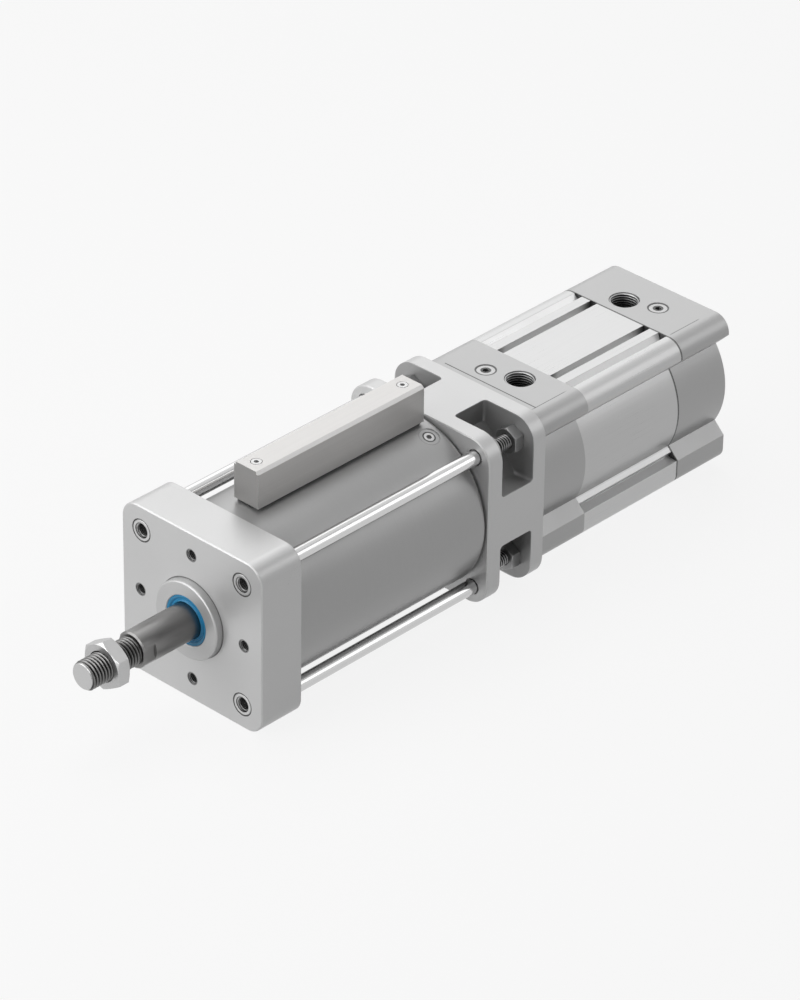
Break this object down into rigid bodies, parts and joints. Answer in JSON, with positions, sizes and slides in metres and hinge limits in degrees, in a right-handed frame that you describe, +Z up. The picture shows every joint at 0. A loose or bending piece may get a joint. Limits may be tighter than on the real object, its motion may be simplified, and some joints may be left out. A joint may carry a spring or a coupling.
{
  "type": "pneumatic cylinder with holding brake",
  "caption": "Pneumatic cylinder with a spring-applied rod brake bolted to its front, tie rods, an air bar and a threaded rod end with a lock nut.",
  "frame": {"origin": "middle of the front mounting face, on the piston rod's axis", "axes": "+Y runs along the cylinder towards its rear cap, the rod leaves towards -Y, +Z is up through the air bar and the supply ports, +X is the side that the picture shows"},
  "size_m": [0.124, 0.5425, 0.1516],
  "materials": {
    "cast_aluminium": "satin, bead blasted and machined",
    "anodised_tube": "satin anodised",
    "anodised_bar": "satin anodised, a little warm",
    "turned_aluminium": "turned",
    "polished_steel": "ground and polished",
    "rod_steel": "ground high-alloy steel",
    "turned_steel": "turned",
    "spring_steel": "phosphated",
    "zinc_steel": "zinc plated",
    "bronze": "turned sintered bronze",
    "blue_polyurethane": "smooth moulded polyurethane",
    "black_rubber": "matt rubber"
  },
  "bodies": {
    "housing": {"front_bearing_cap": "cast_aluminium", "bearing_cartridge": "turned_aluminium", "mounting_sleeves": "zinc_steel", "rod_wiper_seal": "blue_polyurethane", "front_guide_bush": "bronze", "brake_tube": "anodised_tube", "tube_plug": "zinc_steel", "channel_bar": "anodised_bar", "channel_bar_gasket": "black_rubber", "channel_bar_screws": "zinc_steel", "coupling_housing": "cast_aluminium", "coupling_studs": "zinc_steel", "coupling_nuts": "zinc_steel", "disc_springs": "spring_steel", "clamping_insert": "turned_aluminium", "insert_sleeve_seal": "black_rubber", "brake_o_rings": "black_rubber", "jaw_spreader_ring": "spring_steel", "tie_rod_1": "polished_steel", "tie_rod_2": "polished_steel", "tie_rod_3": "polished_steel", "tie_rod_4": "polished_steel", "cylinder_front_cap": "cast_aluminium", "rod_seal": "blue_polyurethane", "rod_bearing_bush": "bronze", "front_cap_screws": "zinc_steel", "cylinder_profile": "anodised_tube", "cylinder_rear_cap": "cast_aluminium", "rear_cap_screws": "zinc_steel", "front_cushion_seal": "blue_polyurethane", "rear_cushion_seal": "blue_polyurethane", "cylinder_o_rings": "black_rubber"},
    "rod": {"piston_rod": "rod_steel", "piston": "turned_aluminium", "piston_seals": "blue_polyurethane", "piston_guide_ring": "bronze", "piston_magnet": "black_rubber", "front_cushion_sleeve": "turned_aluminium", "rear_cushion_nut": "turned_steel"},
    "lock_nut": {"rod_lock_nut": "zinc_steel"},
    "brake_piston": {"brake_piston": "turned_steel", "spring_guide_tube": "turned_steel", "taper_sleeve": "turned_steel", "brake_piston_guide_ring": "bronze", "brake_piston_seal": "black_rubber"},
    "jaw_1": {"clamping_jaw_1": "bronze"},
    "jaw_2": {"clamping_jaw_2": "bronze"},
    "jaw_3": {"clamping_jaw_3": "bronze"},
    "front_cushion_screw": {"front_cushion_screw": "zinc_steel"},
    "rear_cushion_screw": {"rear_cushion_screw": "zinc_steel"}
  },
  "joints": [
    {"name": "rod_slide", "type": "slide", "parent": "housing", "child": "rod", "axis": [0, -1, 0], "range_m": [0, 0.05]},
    {"name": "lock_nut_turn", "type": "hinge", "parent": "rod", "child": "lock_nut", "pos_m": [0, -0.073, 0], "axis": [0, -1, 0], "continuous": true},
    {"name": "brake_release", "type": "slide", "parent": "housing", "child": "brake_piston", "axis": [0, -1, 0], "range_m": [0, 0.004], "stiffness_N_per_m": 20000, "springref_m": -0.01, "deforming": ["disc_springs"]},
    {"name": "jaw_1_open", "type": "slide", "parent": "housing", "child": "jaw_1", "axis": [0, 0, 1], "range_m": [0, 0.0006]},
    {"name": "jaw_2_open", "type": "slide", "parent": "housing", "child": "jaw_2", "axis": [0.866, 0, -0.5], "range_m": [0, 0.0006]},
    {"name": "jaw_3_open", "type": "slide", "parent": "housing", "child": "jaw_3", "axis": [-0.866, 0, -0.5], "range_m": [0, 0.0006]},
    {"name": "front_cushion_turn", "type": "hinge", "parent": "housing", "child": "front_cushion_screw", "pos_m": [-0.0142, 0.284, 0.055], "axis": [0, 0, 1], "range_deg": [0, 1080]},
    {"name": "rear_cushion_turn", "type": "hinge", "parent": "housing", "child": "rear_cushion_screw", "pos_m": [0.0122, 0.4249, 0.055], "axis": [0, 0, 1], "range_deg": [0, 1080]}
  ],
  "couplings": [
    {"joint": "jaw_1_open", "follows": "brake_release", "ratio": 0.14054},
    {"joint": "jaw_2_open", "follows": "brake_release", "ratio": 0.14054},
    {"joint": "jaw_3_open", "follows": "brake_release", "ratio": 0.14054}
  ]
}
